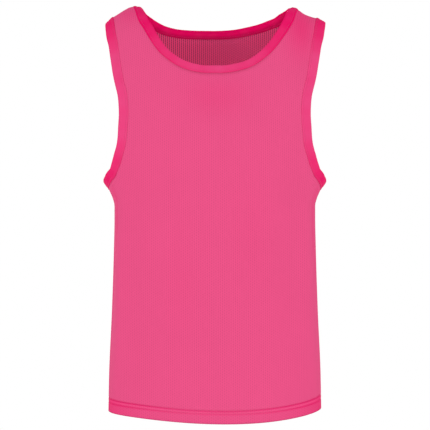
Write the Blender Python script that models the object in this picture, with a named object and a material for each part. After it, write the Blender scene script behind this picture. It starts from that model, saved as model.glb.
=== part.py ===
# Mesh training bib: a sleeveless, collarless pullover of two mesh panels with bound neck and armholes.
# It is filled out as if worn, with nobody in it: a hollow tube, open at the neck, armholes and hem.
# Metres, +Z up. The front faces -Y, and +X is the right-hand side seen from the front. The origin is
# midway between the straps, at the height where they rest on the wearer's shoulders.
import math

import bmesh
import bpy
from mathutils import Vector

# Heights
HEM_Z = -0.646  # folded bottom edge at the sides
UNDERARM_Z = -0.286  # where the side seams meet the armhole bindings
HEM_DIP = 0.0105  # how much lower the hem hangs at centre front and centre back
HEM_TURN = 6.0  # degrees that the hem's lowest points lie off the centre lines
HEM_LIFT = {-1: -0.0010, 1: 0.0036}  # how far the hem rises at its left and right side

# Cloth
MESH_WALL = 0.0012
HEM_WALL = 0.0024  # the hem is folded to the inside, so it is two layers thick
HEM_FOLD = 0.020
BAND_WALL = 0.0026  # folded binding around the panel's raw edge
BAND_CORNER = 0.0008
SEAM_GAP = 0.0003

# Grid of each half panel
NECK_COLUMNS = 7  # columns from the centre that end on the bottom of the neckline
STRAP_COLUMNS = 7  # columns that run up the strap
ARM_COLUMNS = 4  # columns by the side seam that end on the bottom of the armhole
UNDERARM_ROWS = 5  # rows that bend from level to the bottom of the armhole
CHEST_ROWS = 7  # rows from there to the bottom of the neckline
STRAP_ROWS = 9  # rows from there to the shoulder seam
NECK_COUNT = NECK_COLUMNS + STRAP_ROWS  # steps along the neck seam, from the centre to the crest
ARM_COUNT = ARM_COLUMNS + CHEST_ROWS + STRAP_ROWS  # steps along the armhole seam, from the side seam
BODY_LEVELS = (0.0, 0.055, 0.060, 0.14, 0.23, 0.32, 0.41, 0.50, 0.59, 0.68, 0.77, 0.84)
CREST_LEVEL = 1.9999  # from here on a point counts as lying on the crest
GIRTH_LEVEL = 1.06  # where the bent rows end at centre front and centre back

# Level 0 is the hem, 1 the underarm, and 2 the crest of the shoulders. Above level 1 the cloth leans
# in over the chest and back until the two panels meet along the crest.
SECTIONS = (
    # level, half_width, front_depth, back_depth, squareness
    (0.00, 0.1738, 0.105, 0.098, 0.040),
    (0.16, 0.1728, 0.104, 0.096, 0.042),
    (0.45, 0.1683, 0.104, 0.094, 0.045),
    (0.74, 0.1650, 0.107, 0.096, 0.048),
    (0.88, 0.1640, 0.109, 0.099, 0.048),
    (0.925, 0.1640, 0.110, 0.100, 0.045),
    (0.96, 0.1668, 0.110, 0.101, 0.040),
    (1.00, 0.1730, 0.110, 0.102, 0.036),
    (1.08, 0.1840, 0.110, 0.103, 0.040),
    (1.25, 0.1930, 0.109, 0.104, 0.046),
    (1.60, 0.1980, 0.107, 0.103, 0.048),
    (2.00, 0.2000, 0.106, 0.102, 0.048),
)

# The crest runs from the neck to the shoulder point. Inside the neckline it is the imaginary line
# that the panels lean towards.
CREST = (
    # from_centre, front_left, front_right, back_left, back_right
    (0.000, -0.036, -0.036, 0.030, 0.030),
    (0.006, -0.036, -0.036, 0.030, 0.030),
    (0.050, -0.022, -0.022, 0.028, 0.029),
    (0.095, 0.0050, 0.0050, 0.0200, 0.0210),
    (0.120, 0.0122, 0.0130, 0.0122, 0.0130),
    (0.130, 0.0134, 0.0110, 0.0134, 0.0110),
    (0.138, 0.0122, 0.0066, 0.0122, 0.0066),
    (0.146, 0.0084, 0.0010, 0.0084, 0.0010),
    (0.160, -0.0002, -0.0042, -0.0002, -0.0042),
    (0.172, -0.0076, -0.0068, -0.0076, -0.0068),
    (0.185, -0.0190, -0.0155, -0.0190, -0.0155),
)

# Seam lines as they are seen from the front and from the back, from the centre or the underarm up.
NECK_SEAMS = {
    # (from_centre, height)
    ("front", -1): ((0.0, -0.1010), (0.038, -0.0974), (0.053, -0.0922), (0.068, -0.0838), (0.0868, -0.0684),
                    (0.1012, -0.0488), (0.1131, -0.0286), (0.1240, -0.0088), (0.1325, None)),
    ("front", 1): ((0.0, -0.1010), (0.038, -0.0974), (0.054, -0.0926), (0.070, -0.0838), (0.0885, -0.0684),
                   (0.1045, -0.0488), (0.1180, -0.0286), (0.1280, -0.0088), (0.1355, None)),
    ("back", -1): ((0.0, -0.0315), (0.030, -0.0313), (0.060, -0.0300), (0.085, -0.0252),
                   (0.103, -0.0180), (0.118, -0.0078), (0.1275, 0.0065), (0.1325, None)),
    ("back", 1): ((0.0, -0.0315), (0.030, -0.0303), (0.060, -0.0252), (0.090, -0.0176),
                  (0.115, -0.0065), (0.1355, None)),
}
ARMHOLE_SEAMS = {
    # (from_centre, height)
    "front": ((0.1730, -0.286), (0.1616, -0.2700), (0.1532, -0.2540), (0.1474, -0.2360), (0.1413, -0.2120),
              (0.1380, -0.1700), (0.1405, -0.1360), (0.1468, -0.1100), (0.1520, -0.0820),
              (0.1572, -0.0500), (0.1620, -0.0280), (0.1675, None)),
    "back": ((0.1730, -0.286), (0.1605, -0.2680), (0.1528, -0.2500), (0.1475, -0.2300), (0.1435, -0.2050),
             (0.1420, -0.1700), (0.1435, -0.1300), (0.1470, -0.0950), (0.1528, -0.0620),
             (0.1600, -0.0320), (0.1675, None)),
}

# Each binding's width on the left and the right, and how far it turns from the panel's own slope:
# outwards where the armhole springs clear of the chest, inwards where a binding goes over the shoulder.
NECK_BAND = {
    # level, width, degrees
    -1: ((1.00, 0.0130, 0.0), (1.53, 0.0130, 0.0), (1.60, 0.0137, 0.0), (1.74, 0.0148, 0.0),
         (1.86, 0.0146, -17.0), (1.95, 0.0132, -18.0), (2.00, 0.0118, -8.0)),
    1: ((1.00, 0.0130, 0.0), (1.53, 0.0130, 0.0), (1.60, 0.0137, 0.0), (1.74, 0.0148, 0.0),
        (1.86, 0.0148, -18.0), (2.00, 0.0148, -34.0)),
}
ARMHOLE_BAND = {
    # level, width, degrees
    -1: ((1.00, 0.0160, 14.0), (1.06, 0.0150, 9.0), (1.15, 0.0148, 6.0), (1.45, 0.0148, 8.0),
         (1.72, 0.0165, 0.0), (2.00, 0.0160, -14.0)),
    1: ((1.00, 0.0162, 14.0), (1.06, 0.0150, 9.0), (1.15, 0.0148, 6.0), (1.45, 0.0148, 8.0),
        (1.72, 0.0165, 0.0), (2.00, 0.0160, -20.0)),
}

# The largest soft ridges (+) and troughs (-) of the drape. Angles run from centre front (0) by the
# side seams (90) to centre back (180), negative on the left.
DRAPE = (
    # angle, lean, width, height, from_level, to_level
    (-57, -6, 7.5, 0.0030, 0.10, 1.18),
    (-44, -3, 7.0, -0.0022, 0.25, 1.12),
    (-74, -4, 7.0, -0.0028, 0.05, 0.97),
    (55, 5, 7.5, 0.0030, 0.18, 1.20),
    (42, 3, 7.0, -0.0020, 0.30, 1.05),
    (73, 4, 6.5, -0.0026, 0.00, 0.95),
    (-108, 5, 8.0, 0.0030, 0.05, 1.10),
    (-126, 4, 8.5, -0.0026, 0.10, 1.15),
    (-145, 4, 9.0, 0.0024, 0.00, 0.95),
    (110, -5, 8.0, 0.0030, 0.00, 1.12),
    (129, -4, 9.0, -0.0024, 0.12, 1.05),
    (150, -3, 9.5, 0.0022, 0.05, 1.00),
    (8, 2, 11.0, -0.0016, 0.15, 1.20),
    (-15, -2, 10.0, 0.0014, 0.05, 0.90),
)

MESH_COLOUR = (0.80, 0.095, 0.24)
BINDING_COLOUR = (0.79, 0.055, 0.21)


def slope_at(keys, values, i):
    """Slope at a row of a smooth curve that never overshoots the rows beside it."""
    if i == 0:
        return (values[1] - values[0]) / (keys[1] - keys[0])
    before = (values[i] - values[i - 1]) / (keys[i] - keys[i - 1])
    if i == len(keys) - 1:
        return before
    after = (values[i + 1] - values[i]) / (keys[i + 1] - keys[i])
    return 2 * before * after / (before + after) if before * after > 0 else 0.0


def read_table(table, column, key):
    """A column's value between the rows of a table, along a smooth curve."""
    keys = [row[0] for row in table]
    values = [row[column] for row in table]
    key = min(max(key, keys[0]), keys[-1])
    i = max(j for j in range(len(keys) - 1) if keys[j] <= key)
    step = keys[i + 1] - keys[i]
    u = (key - keys[i]) / step
    start = values[i] * (1 + 2 * u) * (1 - u) ** 2 + slope_at(keys, values, i) * step * u * (1 - u) ** 2
    end = values[i + 1] * u * u * (3 - 2 * u) - slope_at(keys, values, i + 1) * step * u * u * (1 - u)
    return start + end


def crest_height(x, is_back):
    column = (3 if is_back else 1) + (1 if x > 0 else 0)
    return read_table(CREST, column, abs(x))


def section_x(angle, level):
    half_width = read_table(SECTIONS, 1, level)
    square = read_table(SECTIONS, 4, level)
    return half_width * (math.sin(angle) + square * math.sin(3 * angle)) / (1 - square)


def plain_point(angle, level):
    """A point of the bib's middle surface before its drape. The angle runs round the body from 0 at
    centre front; a level past 2 comes down the other panel."""
    if level > 2:
        angle = math.copysign(math.pi, angle) - angle
        level = 4 - level
    is_back = abs(angle) > math.pi / 2
    x = section_x(angle, level)
    depth = read_table(SECTIONS, 3 if is_back else 2, level)
    square = read_table(SECTIONS, 4, level)
    y = -depth * (math.cos(angle) - square * math.cos(3 * angle)) / (1 - square)
    if level <= 1:
        dip = HEM_DIP * math.cos(angle - math.radians(HEM_TURN)) ** 4
        dip -= HEM_LIFT[-1 if angle < 0 else 1] * abs(math.sin(angle)) ** 3
        return Vector((x, y, HEM_Z + (UNDERARM_Z - HEM_Z) * level - dip * (1 - level) ** 3))
    lean = (level - 1) * math.pi / 2
    rise = crest_height(x, is_back) - UNDERARM_Z
    return Vector((x, y * math.cos(lean), UNDERARM_Z + rise * math.sin(lean)))


def normal_of(point_at, angle, level):
    """Outward normal of a surface given as point_at(angle, level)."""
    step = 0.004
    across = point_at(angle + step, level) - point_at(angle - step, level)
    low = max(level - step, 0.0)
    up = point_at(angle, level + step) - point_at(angle, low)
    return across.cross(up).normalized()


def drape_height(angle, level):
    if level > 2:
        return 0.0
    total = 0.0
    for centre, lean, width, height, low, high in DRAPE:
        if not low < level < high:
            continue
        along = (level - low) / (high - low)
        off = (math.degrees(angle) - centre - lean * along + 180) % 360 - 180
        total += height * math.exp(-((off / width) ** 2)) * math.sin(math.pi * along) ** 0.8
    return total


def bib_point(angle, level):
    height = drape_height(angle, level)
    point = plain_point(angle, level)
    return point + normal_of(plain_point, angle, level) * height if height else point


def bib_normal(angle, level):
    return normal_of(bib_point, angle, level)


def place_on_body(side, is_back, from_centre, height):
    """The (angle, level) of a point given by its front or back view. No height means the crest."""
    if height is None:
        level = 2.0
    elif height <= UNDERARM_Z:
        level = 1.0
    else:
        rise = (height - UNDERARM_Z) / (crest_height(side * from_centre, is_back) - UNDERARM_Z)
        level = 1 + math.asin(min(rise, 1.0)) * 2 / math.pi
    low, high = 0.0, math.pi / 2
    for _ in range(40):
        middle = (low + high) / 2
        if section_x(middle, level) < from_centre:
            low = middle
        else:
            high = middle
    angle = math.pi - low if is_back else low
    return side * angle, level


def smooth_line(knots, ghost_start, ghost_end, count):
    """A smooth line through knots in (angle, level), at evenly spaced points on the cloth."""
    points = [ghost_start] + list(knots) + [ghost_end]
    fine = []
    for i in range(1, len(points) - 2):
        a, b, c, d = points[i - 1:i + 3]
        for k in range(12):
            u = k / 12
            fine.append(tuple(
                0.5 * (2 * b[n] + (c[n] - a[n]) * u + (2 * a[n] - 5 * b[n] + 4 * c[n] - d[n]) * u * u
                       + (3 * b[n] - a[n] - 3 * c[n] + d[n]) * u ** 3)
                for n in (0, 1)))
    fine.append(tuple(knots[-1]))
    return evenly(fine, count)


def evenly(line, count):
    """count + 1 points spaced evenly in length along a line in (angle, level)."""
    places = [plain_point(*p) for p in line]
    run = [0.0]
    for before, after in zip(places, places[1:]):
        run.append(run[-1] + (after - before).length)
    spaced = []
    for k in range(count + 1):
        goal = run[-1] * k / count
        i = max(j for j in range(len(run) - 1) if run[j] <= goal)
        u = (goal - run[i]) / (run[i + 1] - run[i])
        spaced.append(tuple(line[i][n] + (line[i + 1][n] - line[i][n]) * u for n in (0, 1)))
    return spaced


def neck_seam(side, is_back):
    rows = NECK_SEAMS["back" if is_back else "front", side]
    knots = [place_on_body(side, is_back, x, z) for x, z in rows]
    centre = side * math.pi if is_back else 0.0
    knots[0] = (centre, knots[0][1])
    ghost_start = (2 * centre - knots[1][0], knots[1][1])
    ghost_end = (knots[-2][0], 4 - knots[-2][1])
    return knots, ghost_start, ghost_end


def armhole_seam(side, is_back):
    rows = ARMHOLE_SEAMS["back" if is_back else "front"]
    knots = [place_on_body(side, is_back, x, z) for x, z in rows]
    seam = side * math.pi / 2
    knots[0] = (seam, 1.0)
    ghost_start = (2 * seam - knots[1][0], knots[1][1])
    ghost_end = (knots[-2][0], 4 - knots[-2][1])
    return knots, ghost_start, ghost_end


def coons(bottom, top, left, right):
    """A grid of (angle, level) filled in between its four edges; bottom and top run left to right."""
    rows, columns = len(left) - 1, len(bottom) - 1
    grid = []
    for j in range(rows + 1):
        v = j / rows
        row = []
        for i in range(columns + 1):
            u = i / columns
            row.append(tuple(
                (1 - v) * bottom[i][n] + v * top[i][n] + (1 - u) * left[j][n] + u * right[j][n]
                - (1 - u) * ((1 - v) * bottom[0][n] + v * top[0][n])
                - u * ((1 - v) * bottom[-1][n] + v * top[-1][n])
                for n in (0, 1)))
        grid.append(row)
    return grid


def straight(start, end, count):
    return evenly([tuple(start[n] + (end[n] - start[n]) * k / 24 for n in (0, 1)) for k in range(25)], count)


def half_panel(side, is_back):
    """The grids of one half of a panel, which share their edges: the body up to the bottom of the
    armhole, the chest up to the bottom of the neckline, and the strap."""
    neck = smooth_line(*neck_seam(side, is_back), NECK_COUNT)
    arm = smooth_line(*armhole_seam(side, is_back), ARM_COUNT)
    centre, seam = neck[0][0], arm[0][0]
    columns = NECK_COLUMNS + STRAP_COLUMNS + ARM_COLUMNS
    body = [[(centre + (seam - centre) * i / columns, level) for i in range(columns + 1)]
            for level in BODY_LEVELS]
    scoop, hinge = arm[ARM_COLUMNS], arm[ARM_COLUMNS + CHEST_ROWS]
    girth = straight((centre, GIRTH_LEVEL), scoop, columns - ARM_COLUMNS) + arm[ARM_COLUMNS - 1::-1]
    yoke = neck[:NECK_COLUMNS] + straight(neck[NECK_COLUMNS], hinge, STRAP_COLUMNS)
    crest = straight(neck[-1], arm[-1], STRAP_COLUMNS)
    lower = coons(body[-1], girth, straight(body[-1][0], girth[0], UNDERARM_ROWS),
                  straight(body[-1][-1], girth[-1], UNDERARM_ROWS))
    chest = coons(girth[:-ARM_COLUMNS], yoke, straight(girth[0], neck[0], CHEST_ROWS),
                  arm[ARM_COLUMNS:ARM_COLUMNS + CHEST_ROWS + 1])
    strap = coons(yoke[NECK_COLUMNS:], crest, neck[NECK_COLUMNS:], arm[ARM_COLUMNS + CHEST_ROWS:])
    return body + lower[1:], chest, strap


def wall_offsets(level):
    """How far the outer and inner faces lie from the middle of the mesh wall."""
    inner = MESH_WALL / 2
    if level < HEM_FOLD / (UNDERARM_Z - HEM_Z) + 0.001:
        inner = HEM_WALL - MESH_WALL / 2
    return MESH_WALL / 2, -inner


def keep_side(point, is_back):
    """Keeps half a seam gap between the panels' meeting edges."""
    gap = SEAM_GAP / 2
    point.y = max(point.y, gap) if is_back else min(point.y, -gap)
    return point


def make_panel(name, is_back, material, collection):
    """A mesh panel: two halves of its grid, given an outer and an inner face and closed all round."""
    bm = bmesh.new()
    made = {}

    def corner(place, layer):
        angle, level = place
        if abs(abs(angle) - math.pi) < 1e-9:
            angle = math.pi
        key = (round(angle, 7), round(level, 7), layer)
        if key not in made:
            normal = bib_normal(angle, level)
            if level > CREST_LEVEL:
                normal = flatten(normal)
            point = bib_point(angle, level) + normal * wall_offsets(level)[layer]
            made[key] = bm.verts.new(keep_side(point, is_back))
        return made[key]

    for side in (-1, 1):
        for block in half_panel(side, is_back):
            for low, high in zip(block, block[1:]):
                for i in range(len(low) - 1):
                    quad = [low[i], low[i + 1], high[i + 1], high[i]]
                    for layer in (0, 1):
                        ring = [corner(p, layer) for p in quad]
                        facing = (side > 0) != is_back
                        bm.faces.new(ring if facing == (layer == 0) else ring[::-1])
    layers = {}
    for (angle, level, layer), vert in made.items():
        layers.setdefault((angle, level), {})[layer] = vert
    other = {pair[0]: pair[1] for pair in layers.values()}
    for edge in [e for e in bm.edges if e.is_boundary and e.verts[0] in other and e.verts[1] in other]:
        a, b = edge.link_loops[0].vert, edge.link_loops[0].link_loop_next.vert
        bm.faces.new((b, a, other[a], other[b]))
    finish(bm, name, material, collection)


def edge_frame(line, k, closed, outward_hint):
    """At a station of a seam line: its point, the cloth's normal, and the direction across the seam."""
    angle, level = line[k]
    before = line[k - 1] if k or closed else None
    after = line[(k + 1) % len(line)] if k + 1 < len(line) or closed else None
    point, normal = bib_point(angle, level), bib_normal(angle, level)
    ends = [bib_point(*p) if p else point for p in (before, after)]
    along = (ends[1] - ends[0]).normalized()
    across = along.cross(normal).normalized()
    if level > CREST_LEVEL:
        normal, across = flatten(normal), flatten(across)
    return point, normal, across * outward_hint


def band_section(width, turn):
    """The folded binding's cross-section as (out from the seam, out from the cloth). Its square end
    faces the panel squarely, and the rest of it turns to its own slope and ends in a rounded fold."""
    half = BAND_WALL / 2
    points = [(SEAM_GAP, half - BAND_CORNER / 2)]
    for along, off in ((BAND_CORNER * 2, 1.0), (width - half, 1.0), (width - 0.3 * half, 0.7), (width, 0.0),
                       (width - 0.3 * half, -0.7), (width - half, -1.0), (BAND_CORNER * 2, -1.0)):
        points.append((along * math.cos(turn) - off * half * math.sin(turn),
                       along * math.sin(turn) + off * half * math.cos(turn)))
    points.append((SEAM_GAP, BAND_CORNER / 2 - half))
    return points


def band_shape(tables, angle, level):
    table = tables[-1 if angle < 0 else 1]
    return read_table(table, 1, level), math.radians(read_table(table, 2, level))


def make_band(name, stations, closed, material, collection):
    """A binding swept along its stations and capped where it is open."""
    bm = bmesh.new()
    rings = [[bm.verts.new(point + across * out + normal * off) for out, off in band_section(width, turn)]
             for point, normal, across, width, turn in stations]
    pairs = list(zip(rings, rings[1:])) + ([(rings[-1], rings[0])] if closed else [])
    count = len(rings[0])
    for low, high in pairs:
        for i in range(count):
            j = (i + 1) % count
            bm.faces.new((low[i], high[i], high[j], low[j]))
    if not closed:
        bm.faces.new(rings[0])
        bm.faces.new(rings[-1][::-1])
    finish(bm, name, material, collection)


def neck_stations():
    """Stations right round the neckline, from centre front by the right strap to centre back. A
    station is (point, normal, across, width, turn)."""
    line = []
    for side, is_back, reverse in ((1, False, False), (1, True, True), (-1, True, False), (-1, False, True)):
        stretch = smooth_line(*neck_seam(side, is_back), NECK_COUNT)
        line += stretch[:0:-1] if reverse else stretch[:-1]
    return [(*edge_frame(line, k, True, -1), *band_shape(NECK_BAND, *line[k])) for k in range(len(line))]


def armhole_stations(side):
    """Stations from the underarm up the front, over the shoulder and down the back."""
    front = smooth_line(*armhole_seam(side, False), ARM_COUNT)
    back = smooth_line(*armhole_seam(side, True), ARM_COUNT)
    line = front + back[-2::-1]
    stations = []
    for k, (angle, level) in enumerate(line):
        point, normal, across = edge_frame(line, k, False, side)
        is_end = k in (0, len(line) - 1)
        if is_end:
            normal, across = flatten(normal), flatten(across)
            point.y = SEAM_GAP / 2 * (-1 if k == 0 else 1)
        stations.append((point, normal, across, *band_shape(ARMHOLE_BAND, angle, level)))
    return stations


def flatten(direction):
    """The direction without its part along Y, so that pieces meet squarely at the side and crest."""
    return Vector((direction.x, 0.0, direction.z)).normalized()


def finish(bm, name, material, collection):
    bmesh.ops.recalc_face_normals(bm, faces=bm.faces)
    mesh = bpy.data.meshes.new(name)
    bm.to_mesh(mesh)
    bm.free()
    mesh.shade_smooth()
    mesh.set_sharp_from_angle(angle=math.radians(50))
    mesh.materials.append(material)
    collection.objects.link(bpy.data.objects.new(name, mesh))


def make_material(name, colour, roughness):
    material = bpy.data.materials.new(name)
    material.use_nodes = True
    shader = material.node_tree.nodes["Principled BSDF"]
    shader.inputs["Base Color"].default_value = (*colour, 1.0)
    shader.inputs["Roughness"].default_value = roughness
    shader.inputs["Metallic"].default_value = 0.0
    return material


def main():
    for old in list(bpy.data.objects):
        bpy.data.objects.remove(old, do_unlink=True)
    collection = bpy.data.collections.new("mesh_training_bib")
    bpy.context.scene.collection.children.link(collection)
    mesh_fabric = make_material("mesh_fabric", MESH_COLOUR, 0.75)
    binding_fabric = make_material("binding_fabric", BINDING_COLOUR, 0.70)
    make_panel("front_panel", False, mesh_fabric, collection)
    make_panel("back_panel", True, mesh_fabric, collection)
    make_band("neck_binding", neck_stations(), True, binding_fabric, collection)
    make_band("armhole_binding_left", armhole_stations(-1), False, binding_fabric, collection)
    make_band("armhole_binding_right", armhole_stations(1), False, binding_fabric, collection)


main()
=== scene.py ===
import math

import bmesh
import bpy
import numpy as np
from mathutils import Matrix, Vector


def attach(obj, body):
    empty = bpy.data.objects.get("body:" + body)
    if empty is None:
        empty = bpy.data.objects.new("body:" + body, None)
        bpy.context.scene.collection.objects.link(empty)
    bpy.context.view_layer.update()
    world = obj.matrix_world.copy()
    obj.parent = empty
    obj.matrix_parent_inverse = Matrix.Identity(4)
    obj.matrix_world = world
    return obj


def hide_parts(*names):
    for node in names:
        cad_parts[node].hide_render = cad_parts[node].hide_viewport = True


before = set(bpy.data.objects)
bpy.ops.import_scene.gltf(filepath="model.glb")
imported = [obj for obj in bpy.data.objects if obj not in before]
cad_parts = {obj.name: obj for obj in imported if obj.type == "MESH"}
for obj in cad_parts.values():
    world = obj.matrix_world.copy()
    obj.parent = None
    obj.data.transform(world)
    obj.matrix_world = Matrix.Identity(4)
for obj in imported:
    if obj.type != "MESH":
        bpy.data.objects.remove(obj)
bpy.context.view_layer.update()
print("frame loaded:", ", ".join(sorted(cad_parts)))


# The filled-out form that all the cloth follows.
bibForm = {  # metres; level 0 is the hem, 1 the underarm, 2 the crest of the shoulders
    "hemHeight": -0.646,
    "underarmHeight": -0.286,
    "hemDip": 0.0105,  # the hem hangs lower at centre front and centre back
    "hemTurn": 6.0,  # degrees that its lowest point lies off the centre
    "hemLift": (-0.0010, 0.0036),  # how far the hem rises at its left and right side
    "sections": (  # level, half width, front depth, back depth, squareness
        (0.00, 0.1738, 0.105, 0.098, 0.040),
        (0.16, 0.1728, 0.104, 0.096, 0.042),
        (0.45, 0.1683, 0.104, 0.094, 0.045),
        (0.74, 0.1650, 0.107, 0.096, 0.048),
        (0.88, 0.1640, 0.109, 0.099, 0.048),
        (0.925, 0.1640, 0.110, 0.100, 0.045),
        (0.96, 0.1668, 0.110, 0.101, 0.040),
        (1.00, 0.1730, 0.110, 0.102, 0.036),
        (1.08, 0.1840, 0.110, 0.103, 0.040),
        (1.25, 0.1930, 0.109, 0.104, 0.046),
        (1.60, 0.1980, 0.107, 0.103, 0.048),
        (2.00, 0.2000, 0.106, 0.102, 0.048),
    ),
    "crest": (  # from centre, height front left, front right, back left, back right
        (0.000, -0.036, -0.036, 0.030, 0.030),
        (0.006, -0.036, -0.036, 0.030, 0.030),
        (0.050, -0.022, -0.022, 0.028, 0.029),
        (0.095, 0.0050, 0.0050, 0.0200, 0.0210),
        (0.120, 0.0122, 0.0130, 0.0122, 0.0130),
        (0.130, 0.0134, 0.0110, 0.0134, 0.0110),
        (0.138, 0.0122, 0.0066, 0.0122, 0.0066),
        (0.146, 0.0084, 0.0010, 0.0084, 0.0010),
        (0.160, -0.0002, -0.0042, -0.0002, -0.0042),
        (0.172, -0.0076, -0.0068, -0.0076, -0.0068),
        (0.185, -0.0190, -0.0155, -0.0190, -0.0155),
    ),
    "neckSeams": {  # (from centre, height), None is the crest
        ("front", -1): ((0.0, -0.1010), (0.038, -0.0974), (0.053, -0.0922), (0.068, -0.0838),
                        (0.0868, -0.0684), (0.1012, -0.0488), (0.1131, -0.0286), (0.1240, -0.0088),
                        (0.1325, None)),
        ("front", 1): ((0.0, -0.1010), (0.038, -0.0974), (0.054, -0.0926), (0.070, -0.0838),
                       (0.0885, -0.0684), (0.1045, -0.0488), (0.1180, -0.0286), (0.1280, -0.0088),
                       (0.1355, None)),
        ("back", -1): ((0.0, -0.0315), (0.030, -0.0313), (0.060, -0.0300), (0.085, -0.0252),
                       (0.103, -0.0180), (0.118, -0.0078), (0.1275, 0.0065), (0.1325, None)),
        ("back", 1): ((0.0, -0.0315), (0.030, -0.0303), (0.060, -0.0252), (0.090, -0.0176),
                      (0.115, -0.0065), (0.1355, None)),
    },
    "armholeSeams": {
        "front": ((0.1730, -0.286), (0.1616, -0.2700), (0.1532, -0.2540), (0.1474, -0.2360),
                  (0.1413, -0.2120), (0.1380, -0.1700), (0.1405, -0.1360), (0.1468, -0.1100),
                  (0.1520, -0.0820), (0.1572, -0.0500), (0.1620, -0.0280), (0.1675, None)),
        "back": ((0.1730, -0.286), (0.1605, -0.2680), (0.1528, -0.2500), (0.1475, -0.2300),
                 (0.1435, -0.2050), (0.1420, -0.1700), (0.1435, -0.1300), (0.1470, -0.0950),
                 (0.1528, -0.0620), (0.1600, -0.0320), (0.1675, None)),
    },
    "drape": (  # angle round the body, lean, width, height, from level, to level
        (-57, -6, 7.5, 0.0030, 0.10, 1.18),
        (-44, -3, 7.0, -0.0022, 0.25, 1.12),
        (-74, -4, 7.0, -0.0028, 0.05, 0.97),
        (55, 5, 7.5, 0.0030, 0.18, 1.20),
        (42, 3, 7.0, -0.0020, 0.30, 1.05),
        (73, 4, 6.5, -0.0026, 0.00, 0.95),
        (-108, 5, 8.0, 0.0030, 0.05, 1.10),
        (-126, 4, 8.5, -0.0026, 0.10, 1.15),
        (-145, 4, 9.0, 0.0024, 0.00, 0.95),
        (110, -5, 8.0, 0.0030, 0.00, 1.12),
        (129, -4, 9.0, -0.0024, 0.12, 1.05),
        (150, -3, 9.5, 0.0022, 0.05, 1.00),
        (8, 2, 11.0, -0.0016, 0.15, 1.20),
        (-15, -2, 10.0, 0.0014, 0.05, 0.90),
    ),
}

# Soft ridges (+) and troughs (-) laid on the flat cloth: points, width, height, all in metres.
clothFolds = {
    "front": (
        (((-0.030, 0.26), (-0.020, 0.40), (-0.018, 0.50)), 0.011, -0.0011),
        (((0.026, 0.26), (0.024, 0.40), (0.020, 0.50)), 0.011, -0.0010),
        (((0.002, 0.24), (0.003, 0.40), (0.001, 0.52)), 0.008, 0.0007),
        (((-0.030, 0.50), (0.002, 0.512), (0.034, 0.50)), 0.022, -0.0012),
        (((-0.072, 0.19), (-0.066, 0.26), (-0.064, 0.33)), 0.009, -0.0011),
        (((-0.118, 0.24), (-0.112, 0.30)), 0.009, -0.0009),
        (((0.066, 0.20), (0.064, 0.27), (0.068, 0.33)), 0.009, -0.0011),
        (((0.104, 0.24), (0.108, 0.30)), 0.009, -0.0009),
        (((-0.112, 0.165), (-0.080, 0.135)), 0.010, -0.0010),
        (((0.118, 0.160), (0.082, 0.128)), 0.010, -0.0010),
        (((-0.060, 0.118), (0.0, 0.112), (0.070, 0.120)), 0.009, -0.0006),
        (((-0.205, 0.355), (-0.160, 0.385), (-0.118, 0.395)), 0.008, 0.0013),
        (((-0.215, 0.335), (-0.165, 0.350), (-0.128, 0.350)), 0.007, -0.0011),
        (((0.205, 0.355), (0.162, 0.382), (0.122, 0.388)), 0.008, 0.0013),
        (((0.215, 0.332), (0.168, 0.345), (0.130, 0.342)), 0.007, -0.0011),
        (((-0.138, 0.640), (-0.118, 0.585), (-0.104, 0.545)), 0.009, 0.0010),
        (((0.142, 0.635), (0.124, 0.590), (0.108, 0.555)), 0.009, -0.0009),
        (((-0.200, 0.06), (-0.190, 0.17), (-0.192, 0.27)), 0.010, 0.0011),
        (((0.196, 0.04), (0.190, 0.15), (0.196, 0.25)), 0.010, 0.0010),
        (((-0.152, 0.230), (-0.150, 0.32), (-0.158, 0.41)), 0.008, 0.0018),
        (((-0.178, 0.240), (-0.176, 0.32), (-0.180, 0.38)), 0.007, -0.0016),
        (((0.150, 0.230), (0.149, 0.32), (0.156, 0.41)), 0.008, 0.0017),
        (((0.176, 0.240), (0.175, 0.32), (0.178, 0.38)), 0.007, -0.0015),
        (((-0.150, 0.00), (-0.146, 0.06), (-0.150, 0.11)), 0.011, 0.0010),
        (((0.146, 0.00), (0.140, 0.06), (0.146, 0.12)), 0.011, 0.0009),
        (((-0.050, 0.00), (-0.052, 0.06), (-0.048, 0.10)), 0.014, 0.0008),
        (((0.058, 0.00), (0.060, 0.05), (0.056, 0.10)), 0.014, -0.0007),
    ),
    "back": (
        (((-0.036, 0.22), (-0.030, 0.38), (-0.026, 0.52)), 0.012, -0.0012),
        (((0.040, 0.20), (0.032, 0.36), (0.030, 0.50)), 0.012, -0.0011),
        (((0.004, 0.16), (0.002, 0.34), (0.0, 0.50)), 0.010, 0.0008),
        (((-0.060, 0.565), (0.0, 0.550), (0.064, 0.562)), 0.016, -0.0011),
        (((-0.080, 0.15), (-0.074, 0.24), (-0.078, 0.32)), 0.010, -0.0011),
        (((0.086, 0.12), (0.078, 0.22), (0.082, 0.33)), 0.010, -0.0011),
        (((-0.205, 0.350), (-0.160, 0.378), (-0.118, 0.386)), 0.008, 0.0013),
        (((-0.212, 0.330), (-0.166, 0.344), (-0.128, 0.344)), 0.007, -0.0010),
        (((0.205, 0.352), (0.160, 0.382), (0.116, 0.392)), 0.008, 0.0013),
        (((0.212, 0.332), (0.166, 0.348), (0.130, 0.348)), 0.007, -0.0010),
        (((-0.110, 0.10), (-0.060, 0.085), (0.010, 0.095)), 0.011, -0.0008),
        (((-0.140, 0.00), (-0.134, 0.07), (-0.140, 0.13)), 0.011, 0.0010),
        (((0.136, 0.00), (0.132, 0.06), (0.138, 0.12)), 0.011, 0.0010),
        (((0.020, 0.00), (0.024, 0.05), (0.018, 0.11)), 0.014, 0.0009),
    ),
}

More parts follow.
